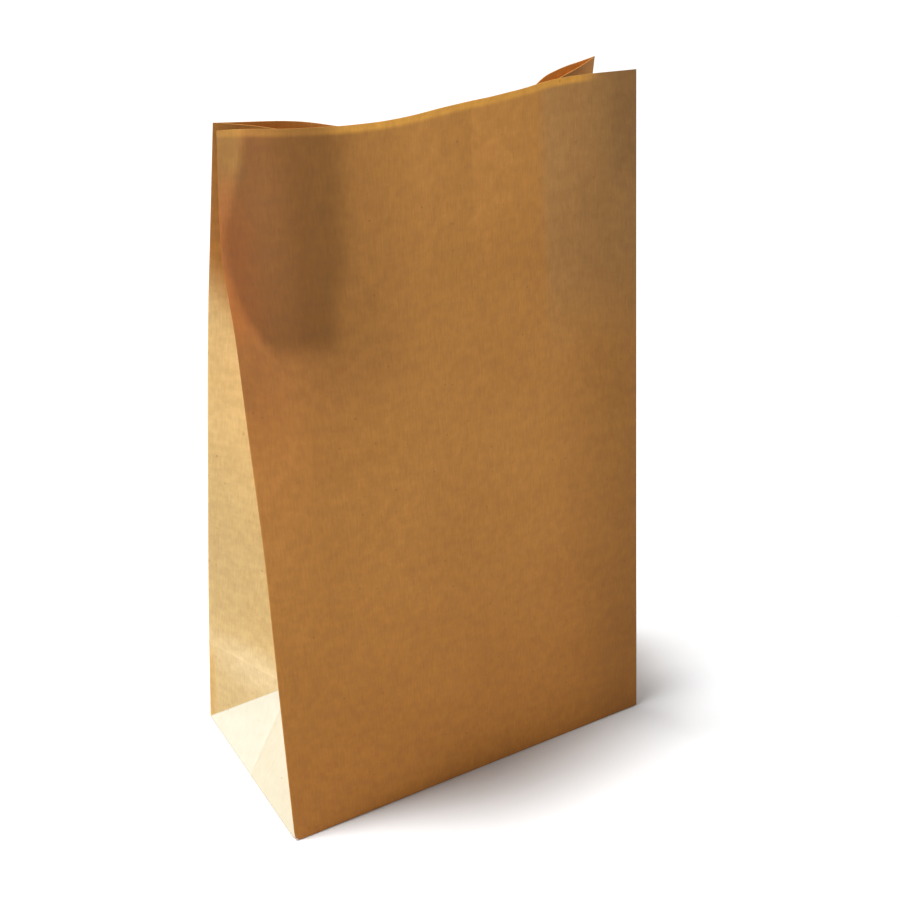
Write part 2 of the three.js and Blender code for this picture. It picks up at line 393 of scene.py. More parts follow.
def sheet_columns(sheet, sizes, ups):
    """The lines up the sheet, all the way round from the front left-hand fold."""
    width, depth, radius = sizes.width, sizes.depth, sizes.fold_radius
    cut_edge = width / 2 + sizes.seam_from_middle
    lap_end = cut_edge + sizes.seam_lap
    ramp_end = lap_end + sizes.paper + sizes.seam_ramp

    def outer_face(x):
        """How far the outer face stands out, on the glued lap and beside it."""
        if x <= cut_edge or x >= ramp_end:
            return 0.0
        if x <= lap_end + sizes.paper:
            return sizes.paper
        return sizes.paper * (ramp_end - x) / sizes.seam_ramp

    front_places = steps_through(softened(0, width, radius), PANEL_STEP)
    seam_places = [cut_edge, cut_edge + sizes.paper, lap_end, lap_end + sizes.paper, ramp_end]
    back_ends = softened(0, width, radius)
    back_places = steps_through(back_ends[:3] + seam_places + back_ends[3:], PANEL_STEP)
    half_places = steps_through(softened(0, depth / 2, radius), GUSSET_STEP)
    gusset_places = half_places + [depth - place for place in reversed(half_places[:-1])]

    columns = [Column(x, sheet.panel_line(sheet.front, x / width, ups)) for x in front_places]

    def add_gusset(gusset, places, start, way):
        """Adds a gusset's lines, which rise along its diagonal up to its middle crease."""
        for across in places[1:-1]:
            from_fold = min(across, depth - across)
            rises = across < depth / 2 - TINY if way > 0 else across > depth / 2 + TINY
            line = gusset.line(across, ups)
            columns.append(Column(start + way * across, line, from_fold=from_fold, rises=rises))

    add_gusset(Gusset(sheet, False), gusset_places, width, 1)
    for x in reversed(back_places):
        line = sheet.panel_line(sheet.back, x / width, ups)
        inner = outer_face(x) if x > lap_end else 0.0
        columns.append(Column(2 * width + depth - x, line, outer_face(x), inner))
    add_gusset(Gusset(sheet, True), gusset_places[::-1], 2 * width + 2 * depth, -1)
    return columns


def bend_over(lines, index):
    """Rounds the fold at an index of the lines."""
    start, corner, end = (lines[index + step].copy() for step in (-BEND_STEPS, 0, BEND_STEPS))
    for step in range(1 - BEND_STEPS, BEND_STEPS):
        along = (1 + step / BEND_STEPS) / 2
        towards = (1 - along) ** 2 * start + 2 * along * (1 - along) * corner
        lines[index + step] = towards + along**2 * end


def outward_at(grid):
    """The outward direction at each point, halfway between the paper before and after it.

    It is lengthened so that a wall offset along it keeps its thickness at a fold.
    """
    after = np.roll(grid, -1, axis=1)
    cells = unit(np.cross(after[1:] - grid[:-1], grid[1:] - after[:-1]))
    strips = np.zeros_like(grid)
    strips[:-1] += cells
    strips[1:] += cells
    strips = unit(strips)
    before = np.roll(strips, 1, axis=1)
    direction = unit(before + strips)
    lean = np.sum(direction * before, axis=-1, keepdims=True)
    return direction / np.maximum(lean, 1 / WIDEST_MITRE)


class SheetGrid:
    """The folded sheet as rows and columns of points, with what each point needs to know."""

    def __init__(self, sizes):
        radius = sizes.fold_radius
        half = sizes.depth / 2
        tuck_places = [half, half + sizes.crease_width / 2, half + sizes.crease_width]
        lip_foot = sizes.sheet_height - LIP_DEPTH
        low_rows = steps_through(softened(0, half, radius), GUSSET_STEP)
        tall_rows = steps_through([*tuck_places, lip_foot], ROW_STEP)
        lip_rows = steps_through([lip_foot, sizes.sheet_height], LIP_STEP)
        walls = np.array(low_rows + tall_rows[1:] + lip_rows[1:])

        self.columns = sheet_columns(FoldedSheet(sizes), sizes, walls)
        wall_points = np.stack([column.points for column in self.columns], axis=1)
        foot = wall_points[0]
        inset = np.array([2 / sizes.width, 2 / sizes.depth, 0])
        bends = (radius, radius / 2)
        floor = [foot * share for share in FLOOR_SHARES]
        near = [foot * (1 - back * inset) for back in bends]
        floor_ups = [-half * (1 - share) for share in FLOOR_SHARES]
        self.points = np.concatenate([floor, near, wall_points])
        self.ups = np.concatenate([floor_ups, [-back for back in bends], walls])
        self.foot_row = len(floor) + len(near)
        self.around = np.array([column.around for column in self.columns])
        self.perimeter = 2 * (sizes.width + sizes.depth)
        self.place_u = self.around[None, :] + 0 * self.ups[:, None]
        self.place_v = self.ups[:, None] + 0 * self.around[None, :]
        self.round_folds(sizes)
        self.wear_corner(sizes)
        self.outward = outward_at(self.points)
        self.steady_corners(sizes)
        self.points = self.points + unit(self.outward) * self.crease_lift(sizes)[..., None]

    def column_at(self, fold):
        """The number of the line that runs up a fold."""
        return int(np.argmin(np.abs(self.around - fold)))

    def round_folds(self, sizes):
        """Rounds the upright folds, and then the base folds."""
        count, more = len(self.columns), BEND_STEPS
        lines = [self.points[:, -more:], self.points, self.points[:, :more]]
        lines = np.concatenate(lines, axis=1).transpose(1, 0, 2)
        for fold in fold_places(sizes.width, sizes.depth):
            bend_over(lines, self.column_at(fold) + more)
        rounded = lines[more : count + more].copy()
        rounded[-1] = lines[more - 1]
        self.points = rounded.transpose(1, 0, 2)
        bend_over(self.points, self.foot_row)

    def wear_corner(self, sizes):
        """Pushes the front left-hand base corner in and up, as it has worn."""
        corner = np.array([-sizes.width / 2, -sizes.depth / 2, 0])
        away = np.linalg.norm(self.points - corner, axis=-1, keepdims=True)
        share = np.clip(1 - away / sizes.corner_reach, 0, 1) ** 2
        self.points = self.points + share * sizes.corner_wear * unit(np.array([1.0, 1.0, 1.0]))

    def crease_lift(self, sizes):
        """How far the packing folds' fine creases stand out from the paper."""
        half = sizes.depth / 2
        side, fade = sizes.crease_width, CREASE_FADE * sizes.crease_width
        around, ups = self.place_u, self.place_v
        back_start, back_end = sizes.width + half, self.perimeter - half
        on_back = np.clip((around - back_start) / side, 0, 1)
        on_back = on_back * np.clip((back_end - around) / side, 0, 1)
        tuck = np.clip(1 - np.abs(ups - half) / side, 0, 1) * on_back
        middles = np.array([back_start, back_end])
        to_middle = np.min(np.abs(around[..., None] - middles), axis=-1)
        on_triangle = np.clip(ups / fade, 0, 1) * np.clip((half - ups) / fade, 0, 1)
        centre = np.clip(1 - to_middle / sizes.fold_radius, 0, 1) * on_triangle
        return sizes.crease_height * np.maximum(tuck, centre)

    def steady_corners(self, sizes):
        """Turns the outward direction along each corner fold straight away from its two plies."""
        for fold in corner_folds(sizes.width, sizes.depth):
            i = self.column_at(fold)
            after = (i + BEND_STEPS) % len(self.columns)
            between_plies = (self.points[:, i - BEND_STEPS] + self.points[:, after]) / 2
            rows = slice(self.foot_row + BEND_STEPS, None)
            self.outward[rows, i] = unit(self.points[rows, i] - between_plies[rows])

    def line_at(self, place):
        """The points up the sheet at any place round it."""
        place = place % self.perimeter
        ends = np.append(self.around, self.perimeter)
        i = min(int(np.searchsorted(ends, place, side="right")) - 1, len(self.columns) - 1)
        share = (place - ends[i]) / (ends[i + 1] - ends[i])
        return self.points[:, i] * (1 - share) + self.points[:, (i + 1) % len(self.columns)] * share

    def thickness(self, sizes):
        """The wall's thickness, pressed thinner where two plies lie close beside a corner fold."""
        result = np.full(self.points.shape[:2], sizes.paper)
        half_way = self.perimeter / 2
        for fold in corner_folds(sizes.width, sizes.depth):
            offsets = (self.around - fold + half_way) % self.perimeter - half_way
            for i in np.flatnonzero(np.abs(offsets) < PRESS_REACH):
                away = max(abs(offsets[i]), sizes.fold_radius / 2)
                beside = i if abs(offsets[i]) > TINY else i + 1
                between_plies = self.line_at(fold + away) - self.line_at(fold - away)
                gap = np.abs(np.sum(between_plies * unit(self.outward[:, beside]), axis=1))
                room = PRESS_SHARE * (gap - sizes.paper / 3)
                pressed = np.clip(room, sizes.paper / 20, sizes.paper)
                result[self.foot_row :, i] = pressed[self.foot_row :]
        return result

    def skins(self, sizes):
        """The outer and the inner face of the wall."""
        outer = np.array([column.outer for column in self.columns])[None, :, None]
        inner = np.array([column.inner for column in self.columns])[None, :, None]
        lift = np.array([0, 0, 2 * sizes.paper])
        outside = self.points + self.outward * outer + lift
        inside = self.points + self.outward * (inner - self.thickness(sizes)[..., None]) + lift
        outside[..., 2] -= self.foot_drop(sizes)
        return outside, inside

    def foot_drop(self, sizes):
        """How far the outer face runs down past the end tabs to become the two bottom flaps."""
        width, depth = sizes.width, sizes.depth
        turn = 2 * sizes.fold_radius
        places = [0, width, width + turn, width + depth - turn, width + depth, 2 * width + depth]
        drops = [2 * sizes.paper, 2 * sizes.paper, 0, 0, sizes.paper, sizes.paper]
        places += [2 * width + depth + turn, self.perimeter - turn, self.perimeter]
        drops += [0, 0, 2 * sizes.paper]
        across = np.interp(self.around, places, drops)
        fade = np.clip(2 - np.abs(self.ups) / (2 * sizes.fold_radius), 0, 1)
        return fade[:, None] * across[None, :]


class BagMesh:
    """Collects the bag's closed skins, with each corner's place on the flat sheet."""

    def __init__(self, sizes):
        self.sizes = sizes
        self.points = []
        self.faces = []
        self.places = []
        self.facts = {name: [] for name in FACTS}

    def add_points(self, points, facts=None):
        """Adds points and their facts, and returns the first one's number."""
        start = len(self.points)
        self.points += [tuple(point) for point in points]
        for name, default in FACTS.items():
            values = None if facts is None else facts.get(name)
            self.facts[name] += [default] * len(points) if values is None else list(values)
        return start

    def add_face(self, corners, places):
        """Adds a face and its corners' places on the sheet."""
        self.faces.append(tuple(corners))
        self.places += list(places)

    def floor_place(self, point):
        """A floor point's place on the sheet, as if the floor carried on from the front panel."""
        return (point[0] + self.sizes.width / 2, -point[1] - self.sizes.depth / 2)

    def object(self, name):
        """The finished mesh as an object."""
        mesh = bpy.data.meshes.new(name)
        mesh.from_pydata(self.points, [], self.faces)
        layer = mesh.uv_layers.new(name=SHEET_MAP)
        layer.data.foreach_set("uv", np.array(self.places, np.float32).ravel())
        for fact, values in self.facts.items():
            is_vector = isinstance(FACTS[fact], tuple)
            kind, key = ("FLOAT_VECTOR", "vector") if is_vector else ("FLOAT", "value")
            attribute = mesh.attributes.new(fact, kind, "POINT")
            attribute.data.foreach_set(key, np.array(values, np.float32).ravel())
        mesh.shade_smooth()
        mesh.set_sharp_from_angle(angle=FOLD_CREASE_ANGLE)
        bag = bpy.data.objects.new(name, mesh)
        bpy.context.scene.collection.objects.link(bag)
        return bag


SHEET_MAP = "sheet"
NO_FOLD = 1.0

# What each point of the mesh knows, with the value where it doesn't apply. Distances are metres.
FACTS = {
    "sheet_place": (0.0, 0.0, 0.0),
    "ply_out": (0.0, 0.0, 0.0),
    "cockle_room": 0.0,
    "inside": 0.0,
    "on_front": 0.0,
    "on_gusset": 0.0,
    "across": 0.0,
    "from_mouth": NO_FOLD,
    "from_fold": NO_FOLD,
    "into_plies": -NO_FOLD,
}


def sheet_facts(grid, sizes, is_inside):
    """The facts of each point of one skin of the sheet."""
    around, ups = grid.place_u, grid.place_v
    width, depth, half = sizes.width, sizes.depth, sizes.depth / 2
    shape = around.shape
    folds = np.array(fold_places(width, depth) + (grid.perimeter,))
    to_upright = np.min(np.abs(around[..., None] - folds), axis=-1)
    from_fold = np.array([column.from_fold for column in grid.columns])[None, :] + 0 * ups
    on_gusset = (from_fold >= 0).astype(float)
    on_low_gusset = (on_gusset > 0) & (ups < half)
    to_diagonal = np.where(on_low_gusset, np.abs(ups - from_fold) * math.sqrt(0.5), NO_FOLD)
    on_back = (around > width + half) & (around < grid.perimeter - half)
    to_tuck = np.where(on_back, np.abs(ups - half), NO_FOLD)
    to_crease = np.minimum.reduce([to_upright, np.abs(ups), to_diagonal, to_tuck])
    to_end = np.minimum(to_upright, np.abs(ups))
    quiet = np.clip((to_end - FLAT_MARGIN) / FLAT_REACH, 0, 1)
    room = np.where(ups > 0, quiet, 0)

    left = smooth_through(PLIES_LEFT)(np.clip(ups, PLIES_LEFT[0][0], PLIES_LEFT[-1][0]))
    into_plies = np.minimum(around - left, (ups - PLIES_FOOT) / 2)
    on_front = ((around <= width) & (ups > -sizes.fold_radius)).astype(float)
    facts = {
        "sheet_place": np.dstack([around, ups, np.zeros(shape)]).reshape(-1, 3),
        "ply_out": unit(grid.outward).reshape(-1, 3),
        "cockle_room": room.ravel(),
        "inside": np.full(around.size, float(is_inside)),
        "on_front": on_front.ravel(),
        "on_gusset": on_gusset.ravel(),
        "across": np.maximum(from_fold, 0).ravel(),
        "from_mouth": (sizes.sheet_height - ups).ravel(),
        "from_fold": to_crease.ravel(),
        "into_plies": np.where(on_front > 0, into_plies, -NO_FOLD).ravel(),
    }
    return {
        name: [tuple(v) for v in values] if values.ndim == 2 else values
        for name, values in facts.items()
    }


def add_sheet(bag, grid, sizes):
    """Adds the sheet's two skins, the floor's middle and the cut edge at the mouth."""
    rows, count = grid.points.shape[:2]
    outside, inside = grid.skins(sizes)
    bend_row = grid.foot_row - 1

    def place(r, i, points):
        """A corner's place on the sheet."""
        if r < bend_row:
            return bag.floor_place(points[r, i % count])
        around = grid.perimeter if i == count else grid.around[i]
        return (around, grid.ups[r])

    def cells_at(r, i):
        """One face with four corners, or two triangles that follow an end triangle's diagonal."""
        corners = [(r, i), (r, i + 1), (r + 1, i + 1), (r + 1, i)]
        here, after = grid.columns[i], grid.columns[(i + 1) % count]
        is_low = r >= bend_row and grid.ups[r] < sizes.depth / 2
        if not is_low or max(here.from_fold, after.from_fold) <= 0:
            return [corners]
        if (here if here.from_fold > 0 else after).rises:
            return [corners[:3], [corners[0], *corners[2:]]]
        return [corners[:2] + corners[3:], corners[1:]]

    def add_skin(points, is_inside):
        """Adds one skin with its floor, and returns its first point's number."""
        turn = -1 if is_inside else 1
        start = bag.add_points(points.reshape(-1, 3), sheet_facts(grid, sizes, is_inside))
        for r in range(rows - 1):
            for i in range(count):
                for cell in cells_at(r, i):
                    bag.add_face(
                        [start + row * count + column % count for row, column in cell[::turn]],
                        [place(row, column, points) for row, column in cell[::turn]],
                    )
        middle = np.array([[0, 0, points[0, 0, 2]]])
        centre = bag.add_points(middle)
        for i in range(count):
            ring = [(i + 1) % count, i][::turn]
            places = [bag.floor_place(point) for point in (middle[0], *points[0, ring])]
            bag.add_face([centre] + [start + column for column in ring], places)
        return start

    starts = [add_skin(outside, False), add_skin(inside, True)]
    outer_top, inner_top = (start + (rows - 1) * count for start in starts)
    for i in range(count):
        after = (i + 1) % count
        places = [place(rows - 1, i, outside), place(rows - 1, i + 1, outside)]
        corners = [outer_top + i, outer_top + after, inner_top + after, inner_top + i]
        bag.add_face(corners, places + places[::-1])


def add_flap(bag, sizes, fold_side, bottom, top):
    """Adds a bottom flap, whose ends run in at 45 degrees from the corners."""
    half = sizes.width / 2
    tuck = sizes.fold_radius / 2
    reach = (sizes.depth + sizes.flap_lap) / 2
    foot, tip = half - (tuck + sizes.corner_wear), half - reach
    fold_y = fold_side * (sizes.depth / 2 - tuck)
    cut_y = fold_side * (sizes.depth / 2 - reach)
    outline = [(-foot, fold_y), (foot, fold_y), (tip, cut_y), (-tip, cut_y)]
    if fold_side > 0:
        outline = outline[::-1]
    points = [(x, y, z) for z in (bottom, top) for x, y in outline]
    start = bag.add_points(points)
    sides = [(i, (i + 1) % 4, (i + 1) % 4 + 4, i + 4) for i in range(4)]
    for face in [(3, 2, 1, 0), (4, 5, 6, 7), *sides]:
        bag.add_face([start + i for i in face], [bag.floor_place(points[i]) for i in face])


def add_node(tree, kind, label, settings=None, inputs=None):
    """A node with its settings, and its sockets' values or the outputs that feed them."""
    node = tree.nodes.new(kind)
    node.label = label
    for name, value in (settings or {}).items():
        setattr(node, name, value)
    for name, value in (inputs or {}).items():
        if isinstance(value, bpy.types.NodeSocket):
            tree.links.new(value, node.inputs[name])
        else:
            node.inputs[name].default_value = value
    return node


def add_maths(tree, label, operation, *values):
    """A number worked out from others."""
    inputs = dict(enumerate(values))
    return add_node(tree, "ShaderNodeMath", label, {"operation": operation}, inputs).outputs[0]


def add_product(tree, label, *values):
    """The product of several numbers."""
    result = values[0]
    for value in values[1:]:
        result = add_maths(tree, label, "MULTIPLY", result, value)
    return result


def add_vector_maths(tree, label, operation, inputs):
    """A vector worked out from others."""
    settings = {"operation": operation}
    return add_node(tree, "ShaderNodeVectorMath", label, settings, inputs).outputs[0]


def between(tree, label, value, start, end, low=0.0, high=1.0):
    """A smooth change from low to high as the value goes from the start to the end."""
    inputs = {"Value": value, "From Min": start, "From Max": end, "To Min": low, "To Max": high}
    settings = {"interpolation_type": "SMOOTHSTEP"}
    return add_node(tree, "ShaderNodeMapRange", label, settings, inputs).outputs[0]


def bare_tree(block):
    """The node tree of a material or a world, emptied."""
    block.use_nodes = True
    block.node_tree.nodes.clear()
    return block.node_tree


RELIEF_INPUTS = (
    ("Cockle Height", "NodeSocketFloat", "cockle_height"),
    ("Cockle Size", "NodeSocketFloat", "cockle_size"),
    ("Buckle Height", "NodeSocketFloat", "buckle_height"),
    ("Buckle Width", "NodeSocketFloat", "buckle_width"),
    ("Buckle Reach", "NodeSocketFloat", "buckle_reach"),
    ("Seed", "NodeSocketInt", "seed"),
)
BUCKLE_LENGTHS = 9
BUCKLE_SEED_STEP = 10


def relief_tree():
    """Geometry nodes that lift and sink the sheet along its own outward direction.

    Both faces of the paper move alike, because both read their place on the sheet.
    """
    tree = bpy.data.node_groups.new("Paper Relief", "GeometryNodeTree")
    tree.interface.new_socket("Geometry", in_out="INPUT", socket_type="NodeSocketGeometry")
    for name, kind, _ in RELIEF_INPUTS:
        tree.interface.new_socket(name, in_out="INPUT", socket_type=kind)
    tree.interface.new_socket("Paper", in_out="INPUT", socket_type="NodeSocketMaterial")
    tree.interface.new_socket("Geometry", in_out="OUTPUT", socket_type="NodeSocketGeometry")
    given = add_node(tree, "NodeGroupInput", "Sizes").outputs

    def fact(name, kind):
        """What the mesh knows at each point."""
        kinds, names = {"data_type": kind}, {"Name": name}
        node = add_node(tree, "GeometryNodeInputNamedAttribute", name, kinds, names)
        return node.outputs["Attribute"]

    def wave(label, place, seed, height):
        """A soft unevenness about zero."""
        settings = {"noise_dimensions": "4D"}
        inputs = {"Vector": place, "W": seed, "Scale": 1.0, "Detail": 1.0}
        noise = add_node(tree, "ShaderNodeTexNoise", label, settings, inputs)
        centred = add_maths(tree, label + " About Zero", "SUBTRACT", noise.outputs[0], 0.5)
        doubled = add_maths(tree, label + " Full Swing", "MULTIPLY", centred, 2.0)
        return add_maths(tree, label + " Height", "MULTIPLY", doubled, height)

    place = fact("sheet_place", "FLOAT_VECTOR")
    even = add_maths(tree, "Cockles per Metre", "DIVIDE", 1.0, given["Cockle Size"])
    cockle_place = add_vector_maths(tree, "Cockle Place", "SCALE", {0: place, "Scale": even})
    cockle = wave("Cockle", cockle_place, given["Seed"], given["Cockle Height"])

    across = add_maths(tree, "Buckles per Metre", "DIVIDE", 1.0, given["Buckle Width"])
    along = add_maths(tree, "Buckle Stretch", "DIVIDE", across, float(BUCKLE_LENGTHS))
    inputs = {"X": across, "Y": along}
    stretch = add_node(tree, "ShaderNodeCombineXYZ", "Upright Stretch", None, inputs).outputs[0]
    buckle_place = add_vector_maths(tree, "Buckle Place", "MULTIPLY", {0: place, 1: stretch})
    buckle_seed = add_maths(tree, "Buckle Seed", "ADD", given["Seed"], float(BUCKLE_SEED_STEP))
    buckle = wave("Buckle", buckle_place, buckle_seed, given["Buckle Height"])
    below = fact("from_mouth", "FLOAT")
    depth = add_maths(tree, "Depth Below Mouth", "DIVIDE", below, given["Buckle Reach"])
    fade = between(tree, "Buckles Die Out", depth, 0.0, 1.0, 1.0, 0.0)
    fading = add_maths(tree, "Faded Buckle", "MULTIPLY", buckle, fade)

    height = add_maths(tree, "Relief", "ADD", cockle, fading)
    held = add_maths(tree, "Held at the Folds", "MULTIPLY", height, fact("cockle_room", "FLOAT"))
    way = fact("ply_out", "FLOAT_VECTOR")
    offset = add_vector_maths(tree, "Lift", "SCALE", {0: way, "Scale": held})
    inputs = {"Geometry": given["Geometry"], "Offset": offset}
    moved = add_node(tree, "GeometryNodeSetPosition", "Lifted", None, inputs)
    inputs = {"Geometry": moved.outputs[0]}
    real = add_node(tree, "GeometryNodeRealizeInstances", "Real Paper", None, inputs)
    inputs = {"Geometry": real.outputs[0], "Material": given["Paper"]}
    painted = add_node(tree, "GeometryNodeSetMaterial", "Kraft", None, inputs)
    add_node(tree, "NodeGroupOutput", "Bag", None, {"Geometry": painted.outputs[0]})
    return tree


def bake_relief(bag, sizes, material):
    """Runs the relief over the bag and keeps the result as its plain mesh."""
    modifier = bag.modifiers.new("Paper Relief", "NODES")
    modifier.node_group = relief_tree()
    items = modifier.node_group.interface.items_tree
    sockets = {item.name: item.identifier for item in items if item.in_out == "INPUT"}
    for name, _, size in RELIEF_INPUTS:
        modifier[sockets[name]] = getattr(sizes, size)
    modifier[sockets["Paper"]] = material
    depsgraph = bpy.context.evaluated_depsgraph_get()
    evaluated = bag.evaluated_get(depsgraph)
    baked = bpy.data.meshes.new_from_object(
        evaluated, preserve_all_data_layers=True, depsgraph=depsgraph
    )
    bag.modifiers.remove(modifier)
    plain = bag.data
    bag.data = baked
    bpy.data.meshes.remove(plain)
    baked.name = bag.name


def mix_colours(tree, label, factor, first, second, blend="MIX"):
    """One colour over another."""
    settings = {"data_type": "RGBA", "blend_type": blend, "clamp_result": False}
    node = add_node(tree, "ShaderNodeMix", label, settings)
    for index, value in ((0, factor), (6, first), (7, second)):
        if isinstance(value, bpy.types.NodeSocket):
            tree.links.new(value, node.inputs[index])
        elif index == 0:
            node.inputs[index].default_value = value
        else:
            node.inputs[index].default_value = (*value, 1.0)
    return node.outputs[2]


class Grain(NamedTuple):
    """A fine pattern in the paper. A stretch below 1 draws it out up the sheet."""

    label: str
    size: float
    detail: float
    stretch: float = 1.0
    turn: float = 0.0


GRAINS = {
    "clouds": Grain("Pulp Clouds", 0.030, 2.0),
    "flocs": Grain("Pulp Flocs", 0.0042, 3.0),
    "fibres": Grain("Upright Fibres", 0.0006, 3.0, 0.12),
    "strays": Grain("Stray Fibres", 0.0007, 3.0, 0.1, math.radians(58)),
    "ribs": Grain("Machine Ribs", 0.0011, 1.0, 0.02),
}

# The grains that darken and lighten the paper, and how far
GRAIN_TONES = (
    ("clouds", 0.965, 1.035),
    ("flocs", 0.92, 1.08),
    ("fibres", 0.955, 1.045),
    ("strays", 0.968, 1.032),
)
GRAIN_SPAN = (0.25, 0.75)
GRAIN_ROUGHNESS = 0.6
WORN_REACH = 0.0009
WORN_TONE = 1.05
GREEN_POWER = 1.2
BLUE_POWER = 1.5
TRIANGLE_CALM = 0.6

# Each fine relief: its strength, its depth and the grain that it follows
FINE_RELIEFS = (
    ("Fibre Relief", 0.35, 0.00006, "both_fibres"),
    ("Rib Relief", 0.16, 0.00005, "ribs"),
    ("Floc Relief", 0.3, 0.0002, "flocs"),
)

SPECKS_PER_METRE = 330.0
SPECK_EDGE = (0.16, 0.08)
SPECK_CHOICE = (0.86, 0.90)
SPECK_STRENGTH = 0.35

# Places on the sheet that the tones go by
GUSSET_SLANT = 1.2
SPOT_UP = 0.2100
BUCKLE_AROUND = 0.0843
WHITE = (1.0, 1.0, 1.0)


class Layer(NamedTuple):
    """A tone of the paper, or painted light or shade on it, laid over the ones before it.

    Its colour is given as it is or by name. Each step has the measure that it goes by, where it
    starts and ends, and its low and high value where they aren't 0 and 1. A layer that doesn't
    cover multiplies what lies below.
    """

    label: str
    region: str
    colour: str | tuple
    steps: tuple = ()
    covers: bool = False


LAYERS = (
    # Painted light on the lit left gusset, below its top, which keeps the kraft as painted shade
    Layer("Painted Light on the Gusset", "lit_gusset", "lit_kraft", covers=True),
    # Painted light and shade: the lit gusset darker near its foot and lighter higher up
    Layer("Painted Light up the Gusset", "lit_gusset", "painted_gusset_light"),
    # Painted light: light bounced up from the triangle and the floor, lighter below the tuck crease
    Layer("Painted Bounce Light by the Tuck", "lit_gusset", (1.16, 1.27, 1.60), (
        ("up", 0.0530, 0.0400), ("up", 0.022, 0.036, 0.35, 1.0), ("around", 0.386, 0.406, 0.5, 1.0),
    )),
    Layer("Golden Fold", "lit_gusset", (0.95, 0.84, 0.66), (
        ("across", 0.0045, 0.0015), ("up", 0.045, 0.030),
    )),
    # Painted light on the end triangle: lit cream, with a slightly shaded half beside the front
    Layer("Painted Light on the End Triangle", "triangle", "lit_and_shaded_creams", covers=True),
    Layer("Glowing Inside", "inside", "glow", (("from_mouth", 0.050, 0.004),), True),
    # Painted shade towards the front's upper left
    Layer("Painted Shade toward the Left", "front", (0.84, 0.84, 0.86), (
        ("up", 0.150, 0.185), ("around", 0.066, 0.042),
    )),
    # Painted shade: darker where the left gusset's plies lie behind the front and less light comes
    # through
    Layer("Painted Ply Shade at the Left", "front", (0.248, 0.106, 0.0235), (
        ("beside_crease", 0.0430, 0.0325), ("into_plies", -0.0018, 0.0030),
    ), True),
    # Painted shade: darker where the right gusset's plies lie behind the front's upper right
    Layer("Painted Ply Shade at the Right", "front", (0.44, 0.213, 0.063), (
        ("around", 0.1125, 0.1190), ("up", 0.150, 0.200),
    ), True),
    # Painted shade towards the front's right-hand fold
    Layer("Painted Shade toward the Right", "front", (0.70, 0.70, 0.70), (("around", 0.111, 0.152),)),
    # Painted shade at the front's upper left
    Layer("Painted Shade at the Upper Left", "front", (0.73, 0.63, 0.65), (
        ("around", 0.050, 0.0), ("up", 0.100, 0.190),
    )),
    # Painted shade: redder and darker towards the base
    Layer("Redder Painted Shade toward the Base", "front", (0.85, 0.765, 0.63), (("up", 0.150, 0.0),)),
    # Painted light: lighter towards the mouth
    Layer("Painted Light toward the Mouth", "front", (1.10, 1.12, 1.16), (("up", 0.190, 0.255),)),
    Layer("Redder Spot", "front", (1.09, 0.96, 0.86), (
        ("around", 0.0140, 0.0050), ("from_spot", 0.028, 0.012),
    )),
    # Painted shade and light on either side of a faint buckle
    Layer("Painted Light and Shade of a Buckle", "front", "painted_buckle_light"),
    # Painted light: a lighter, greyer strip beside the front's left-hand fold near the top
    Layer("Painted Light by the Left Fold", "front", (0.95, 1.20, 1.24), (
        ("around", 0.0110, 0.0050), ("up", 0.234, 0.246),
    )),
    # Painted shade at the front's upper right
    Layer("Painted Shade at the Upper Right", "front", (0.80, 0.81, 0.84), (
        ("around", 0.134, 0.149), ("up", 0.212, 0.230),
    )),
    Layer("Shaded Gusset", "outside", (0.62, 0.61, 0.66), (
        ("around", 0.440, 0.454), ("up", 0.180, 0.212),
    )),
    # Painted light: the lip glows where light comes through its single ply
    Layer("Glowing Lip", "front", "backlit_lip", (
        ("around", 0.140, 0.130), ("around", 0.030, 0.044, 0.25, 1.0),
        ("from_mouth", 0.0030, 0.0014),
    ), True),
)


def add_fact(tree, name):
    """What the mesh knows at each point, by its name in FACTS."""
    return add_node(tree, "ShaderNodeAttribute", name, {"attribute_name": name}).outputs["Fac"]


def add_grain(tree, place, grain):
    """A grain's pattern over the sheet."""
    inputs = {"Vector": place, "Scale": (1.0, grain.stretch, 1.0)}
    inputs["Rotation"] = (0.0, 0.0, grain.turn)
    mapping = add_node(tree, "ShaderNodeMapping", grain.label + " Grain", None, inputs)
    inputs = {"Vector": mapping.outputs[0], "Scale": 1.0 / grain.size, "Detail": grain.detail}
    inputs["Roughness"] = GRAIN_ROUGHNESS
    return add_node(tree, "ShaderNodeTexNoise", grain.label, None, inputs).outputs[0]


def sheet_measures(tree, place):
    """The places and distances that the tones go by."""
    axes = add_node(tree, "ShaderNodeSeparateXYZ", "Round and Up", None, {0: place}).outputs
    around, up, across = axes["X"], axes["Y"], add_fact(tree, "across")
    slant = add_maths(tree, "Slant Across", "MULTIPLY", across, GUSSET_SLANT)
    drawn_in = between(tree, "Crease Drawn In", up, 0.216, 0.194, 0.0, 0.005)
    spot_off = add_maths(tree, "From the Spot's Middle", "SUBTRACT", up, SPOT_UP)
    measures = {name: add_fact(tree, name) for name in ("from_mouth", "from_fold", "into_plies")}
    return measures | {
        "around": around,
        "up": up,
        "across": across,
        "slanted_up": add_maths(tree, "Slanted Height", "ADD", up, slant),
        "above_diagonal": add_maths(tree, "Above the Diagonal", "SUBTRACT", up, across),
        "beside_crease": add_maths(tree, "Place beside the Crease", "ADD", around, drawn_in),
        "from_spot": add_maths(tree, "Either Side of the Spot", "ABSOLUTE", spot_off),
    }


